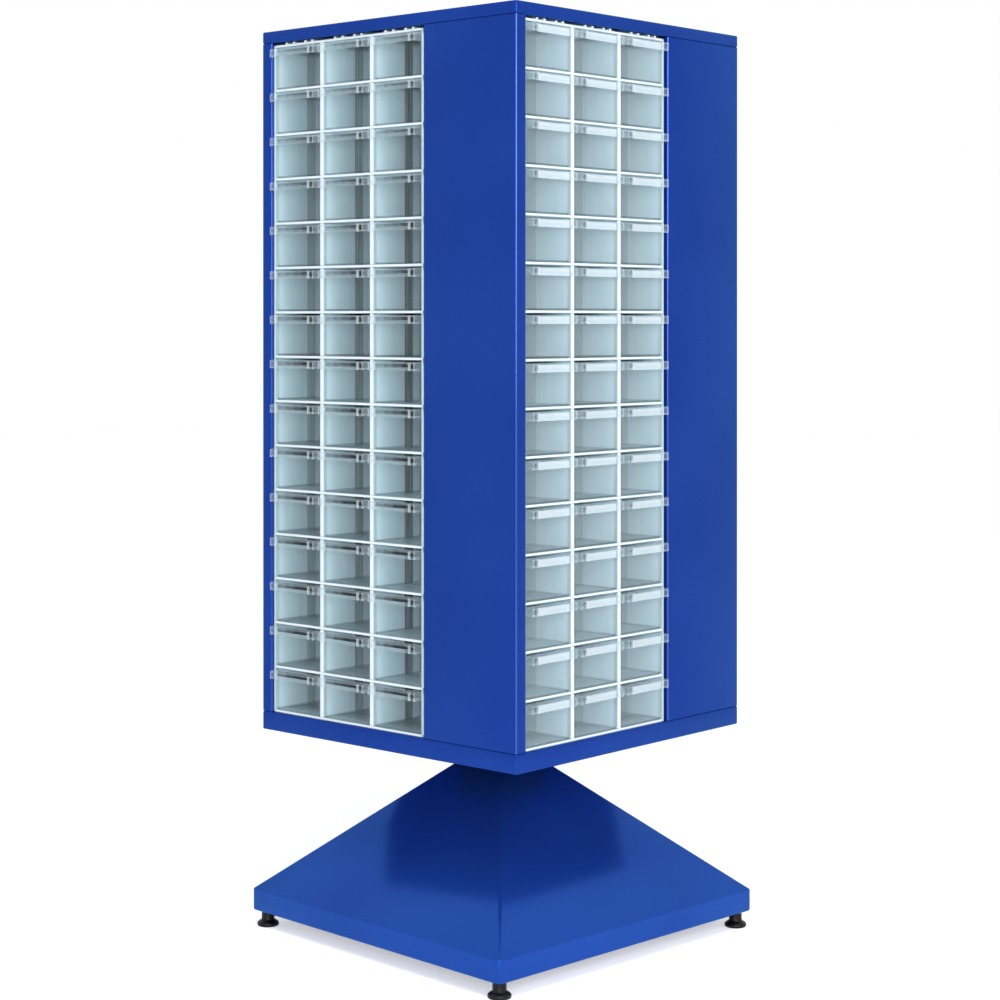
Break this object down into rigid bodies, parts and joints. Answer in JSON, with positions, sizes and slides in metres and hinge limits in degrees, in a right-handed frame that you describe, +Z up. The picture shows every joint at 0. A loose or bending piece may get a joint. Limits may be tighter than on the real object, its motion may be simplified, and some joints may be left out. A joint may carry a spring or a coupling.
{
  "type": "rotating parts carousel",
  "caption": "Square steel tower with a block of clear small-parts drawers on each side, turning on a roller bearing above a pyramid floor base with levelling feet.",
  "frame": {"origin": "on the floor, under the turning axis", "axes": "+Z up along the turning axis; -Y out of the front side, +X out of the right side"},
  "size_m": [0.6892, 0.6892, 1.642],
  "materials": {
    "blue_paint": "glossy powder coat",
    "black_paint": "satin powder coat",
    "clear_plastic": "clear, polished",
    "housing_plastic": "white, satin",
    "plated_steel": "zinc plated",
    "bearing_steel": "ground",
    "cage_brass": "stamped",
    "guide_nylon": "natural nylon",
    "foot_plastic": "moulded black"
  },
  "bodies": {
    "base": {"base_cover": "blue_paint", "base_frame": "black_paint", "foot_pads": "foot_plastic", "foot_studs": "plated_steel", "centre_post": "plated_steel"},
    "bearing_cage": {"bearing_cage": "cage_brass"},
    "carousel": {"turntable_hub": "black_paint", "bottom_tray": "blue_paint", "top_cap": "blue_paint", "inner_core": "blue_paint", "top_guide": "guide_nylon", "corner_panel_front": "blue_paint", "corner_panel_right": "blue_paint", "corner_panel_back": "blue_paint", "corner_panel_left": "blue_paint", "block_sides": "housing_plastic", "block_backs": "housing_plastic", "drawer_shelves": "housing_plastic", "drawer_dividers": "housing_plastic", "closed_drawers_back": "clear_plastic", "closed_drawers_front": "clear_plastic", "closed_drawers_left": "clear_plastic", "closed_drawers_right": "clear_plastic"},
    "bearing_roller_1": {"bearing_roller_1": "bearing_steel"},
    "bearing_roller_2": {"bearing_roller_2": "bearing_steel"},
    "bearing_roller_3": {"bearing_roller_3": "bearing_steel"},
    "bearing_roller_4": {"bearing_roller_4": "bearing_steel"},
    "bearing_roller_5": {"bearing_roller_5": "bearing_steel"},
    "bearing_roller_6": {"bearing_roller_6": "bearing_steel"},
    "drawer_back_row02_column1": {"drawer_back_row02_column1": "clear_plastic"},
    "drawer_back_row04_column2": {"drawer_back_row04_column2": "clear_plastic"},
    "drawer_back_row06_column3": {"drawer_back_row06_column3": "clear_plastic"},
    "drawer_back_row08_column1": {"drawer_back_row08_column1": "clear_plastic"},
    "drawer_back_row10_column2": {"drawer_back_row10_column2": "clear_plastic"},
    "drawer_back_row12_column3": {"drawer_back_row12_column3": "clear_plastic"},
    "drawer_back_row14_column1": {"drawer_back_row14_column1": "clear_plastic"},
    "drawer_front_row02_column2": {"drawer_front_row02_column2": "clear_plastic"},
    "drawer_front_row04_column3": {"drawer_front_row04_column3": "clear_plastic"},
    "drawer_front_row06_column1": {"drawer_front_row06_column1": "clear_plastic"},
    "drawer_front_row08_column2": {"drawer_front_row08_column2": "clear_plastic"},
    "drawer_front_row10_column3": {"drawer_front_row10_column3": "clear_plastic"},
    "drawer_front_row12_column1": {"drawer_front_row12_column1": "clear_plastic"},
    "drawer_front_row14_column2": {"drawer_front_row14_column2": "clear_plastic"},
    "drawer_left_row02_column2": {"drawer_left_row02_column2": "clear_plastic"},
    "drawer_left_row04_column3": {"drawer_left_row04_column3": "clear_plastic"},
    "drawer_left_row06_column1": {"drawer_left_row06_column1": "clear_plastic"},
    "drawer_left_row08_column2": {"drawer_left_row08_column2": "clear_plastic"},
    "drawer_left_row10_column3": {"drawer_left_row10_column3": "clear_plastic"},
    "drawer_left_row12_column1": {"drawer_left_row12_column1": "clear_plastic"},
    "drawer_left_row14_column2": {"drawer_left_row14_column2": "clear_plastic"},
    "drawer_right_row02_column3": {"drawer_right_row02_column3": "clear_plastic"},
    "drawer_right_row04_column1": {"drawer_right_row04_column1": "clear_plastic"},
    "drawer_right_row06_column2": {"drawer_right_row06_column2": "clear_plastic"},
    "drawer_right_row08_column3": {"drawer_right_row08_column3": "clear_plastic"},
    "drawer_right_row10_column1": {"drawer_right_row10_column1": "clear_plastic"},
    "drawer_right_row12_column2": {"drawer_right_row12_column2": "clear_plastic"},
    "drawer_right_row14_column3": {"drawer_right_row14_column3": "clear_plastic"}
  },
  "joints": [
    {"name": "carousel_spin", "type": "hinge", "parent": "base", "child": "carousel", "pos_m": [0, 0, 0], "axis": [0, 0, 1], "continuous": true},
    {"name": "cage_spin", "type": "hinge", "parent": "base", "child": "bearing_cage", "pos_m": [0, 0, 0], "axis": [0, 0, 1], "continuous": true},
    {"name": "bearing_roller_1_roll", "type": "hinge", "parent": "bearing_cage", "child": "bearing_roller_1", "pos_m": [0.048, 0, 0.3221], "axis": [1, 0, 0], "continuous": true},
    {"name": "bearing_roller_2_roll", "type": "hinge", "parent": "bearing_cage", "child": "bearing_roller_2", "pos_m": [0.024, 0.04157, 0.3221], "axis": [0.5, 0.866, 0], "continuous": true},
    {"name": "bearing_roller_3_roll", "type": "hinge", "parent": "bearing_cage", "child": "bearing_roller_3", "pos_m": [-0.024, 0.04157, 0.3221], "axis": [-0.5, 0.866, 0], "continuous": true},
    {"name": "bearing_roller_4_roll", "type": "hinge", "parent": "bearing_cage", "child": "bearing_roller_4", "pos_m": [-0.048, 0, 0.3221], "axis": [-1, 0, 0], "continuous": true},
    {"name": "bearing_roller_5_roll", "type": "hinge", "parent": "bearing_cage", "child": "bearing_roller_5", "pos_m": [-0.024, -0.04157, 0.3221], "axis": [-0.5, -0.866, 0], "continuous": true},
    {"name": "bearing_roller_6_roll", "type": "hinge", "parent": "bearing_cage", "child": "bearing_roller_6", "pos_m": [0.024, -0.04157, 0.3221], "axis": [0.5, -0.866, 0], "continuous": true},
    {"name": "back_row02_column1_slide", "type": "slide", "parent": "carousel", "child": "drawer_back_row02_column1", "axis": [0, 1, 0], "range_m": [0, 0.15]},
    {"name": "back_row04_column2_slide", "type": "slide", "parent": "carousel", "child": "drawer_back_row04_column2", "axis": [0, 1, 0], "range_m": [0, 0.15]},
    {"name": "back_row06_column3_slide", "type": "slide", "parent": "carousel", "child": "drawer_back_row06_column3", "axis": [0, 1, 0], "range_m": [0, 0.15]},
    {"name": "back_row08_column1_slide", "type": "slide", "parent": "carousel", "child": "drawer_back_row08_column1", "axis": [0, 1, 0], "range_m": [0, 0.15]},
    {"name": "back_row10_column2_slide", "type": "slide", "parent": "carousel", "child": "drawer_back_row10_column2", "axis": [0, 1, 0], "range_m": [0, 0.15]},
    {"name": "back_row12_column3_slide", "type": "slide", "parent": "carousel", "child": "drawer_back_row12_column3", "axis": [0, 1, 0], "range_m": [0, 0.15]},
    {"name": "back_row14_column1_slide", "type": "slide", "parent": "carousel", "child": "drawer_back_row14_column1", "axis": [0, 1, 0], "range_m": [0, 0.15]},
    {"name": "front_row02_column2_slide", "type": "slide", "parent": "carousel", "child": "drawer_front_row02_column2", "axis": [0, -1, 0], "range_m": [0, 0.15]},
    {"name": "front_row04_column3_slide", "type": "slide", "parent": "carousel", "child": "drawer_front_row04_column3", "axis": [0, -1, 0], "range_m": [0, 0.15]},
    {"name": "front_row06_column1_slide", "type": "slide", "parent": "carousel", "child": "drawer_front_row06_column1", "axis": [0, -1, 0], "range_m": [0, 0.15]},
    {"name": "front_row08_column2_slide", "type": "slide", "parent": "carousel", "child": "drawer_front_row08_column2", "axis": [0, -1, 0], "range_m": [0, 0.15]},
    {"name": "front_row10_column3_slide", "type": "slide", "parent": "carousel", "child": "drawer_front_row10_column3", "axis": [0, -1, 0], "range_m": [0, 0.15]},
    {"name": "front_row12_column1_slide", "type": "slide", "parent": "carousel", "child": "drawer_front_row12_column1", "axis": [0, -1, 0], "range_m": [0, 0.15]},
    {"name": "front_row14_column2_slide", "type": "slide", "parent": "carousel", "child": "drawer_front_row14_column2", "axis": [0, -1, 0], "range_m": [0, 0.15]},
    {"name": "left_row02_column2_slide", "type": "slide", "parent": "carousel", "child": "drawer_left_row02_column2", "axis": [-1, 0, 0], "range_m": [0, 0.15]},
    {"name": "left_row04_column3_slide", "type": "slide", "parent": "carousel", "child": "drawer_left_row04_column3", "axis": [-1, 0, 0], "range_m": [0, 0.15]},
    {"name": "left_row06_column1_slide", "type": "slide", "parent": "carousel", "child": "drawer_left_row06_column1", "axis": [-1, 0, 0], "range_m": [0, 0.15]},
    {"name": "left_row08_column2_slide", "type": "slide", "parent": "carousel", "child": "drawer_left_row08_column2", "axis": [-1, 0, 0], "range_m": [0, 0.15]},
    {"name": "left_row10_column3_slide", "type": "slide", "parent": "carousel", "child": "drawer_left_row10_column3", "axis": [-1, 0, 0], "range_m": [0, 0.15]},
    {"name": "left_row12_column1_slide", "type": "slide", "parent": "carousel", "child": "drawer_left_row12_column1", "axis": [-1, 0, 0], "range_m": [0, 0.15]},
    {"name": "left_row14_column2_slide", "type": "slide", "parent": "carousel", "child": "drawer_left_row14_column2", "axis": [-1, 0, 0], "range_m": [0, 0.15]},
    {"name": "right_row02_column3_slide", "type": "slide", "parent": "carousel", "child": "drawer_right_row02_column3", "axis": [1, 0, 0], "range_m": [0, 0.15]},
    {"name": "right_row04_column1_slide", "type": "slide", "parent": "carousel", "child": "drawer_right_row04_column1", "axis": [1, 0, 0], "range_m": [0, 0.15]},
    {"name": "right_row06_column2_slide", "type": "slide", "parent": "carousel", "child": "drawer_right_row06_column2", "axis": [1, 0, 0], "range_m": [0, 0.15]},
    {"name": "right_row08_column3_slide", "type": "slide", "parent": "carousel", "child": "drawer_right_row08_column3", "axis": [1, 0, 0], "range_m": [0, 0.15]},
    {"name": "right_row10_column1_slide", "type": "slide", "parent": "carousel", "child": "drawer_right_row10_column1", "axis": [1, 0, 0], "range_m": [0, 0.15]},
    {"name": "right_row12_column2_slide", "type": "slide", "parent": "carousel", "child": "drawer_right_row12_column2", "axis": [1, 0, 0], "range_m": [0, 0.15]},
    {"name": "right_row14_column3_slide", "type": "slide", "parent": "carousel", "child": "drawer_right_row14_column3", "axis": [1, 0, 0], "range_m": [0, 0.15]}
  ],
  "couplings": [
    {"joint": "cage_spin", "follows": "carousel_spin", "ratio": 0.5},
    {"joint": "bearing_roller_1_roll", "follows": "carousel_spin", "ratio": -4.8},
    {"joint": "bearing_roller_2_roll", "follows": "carousel_spin", "ratio": -4.8},
    {"joint": "bearing_roller_3_roll", "follows": "carousel_spin", "ratio": -4.8},
    {"joint": "bearing_roller_4_roll", "follows": "carousel_spin", "ratio": -4.8},
    {"joint": "bearing_roller_5_roll", "follows": "carousel_spin", "ratio": -4.8},
    {"joint": "bearing_roller_6_roll", "follows": "carousel_spin", "ratio": -4.8}
  ]
}
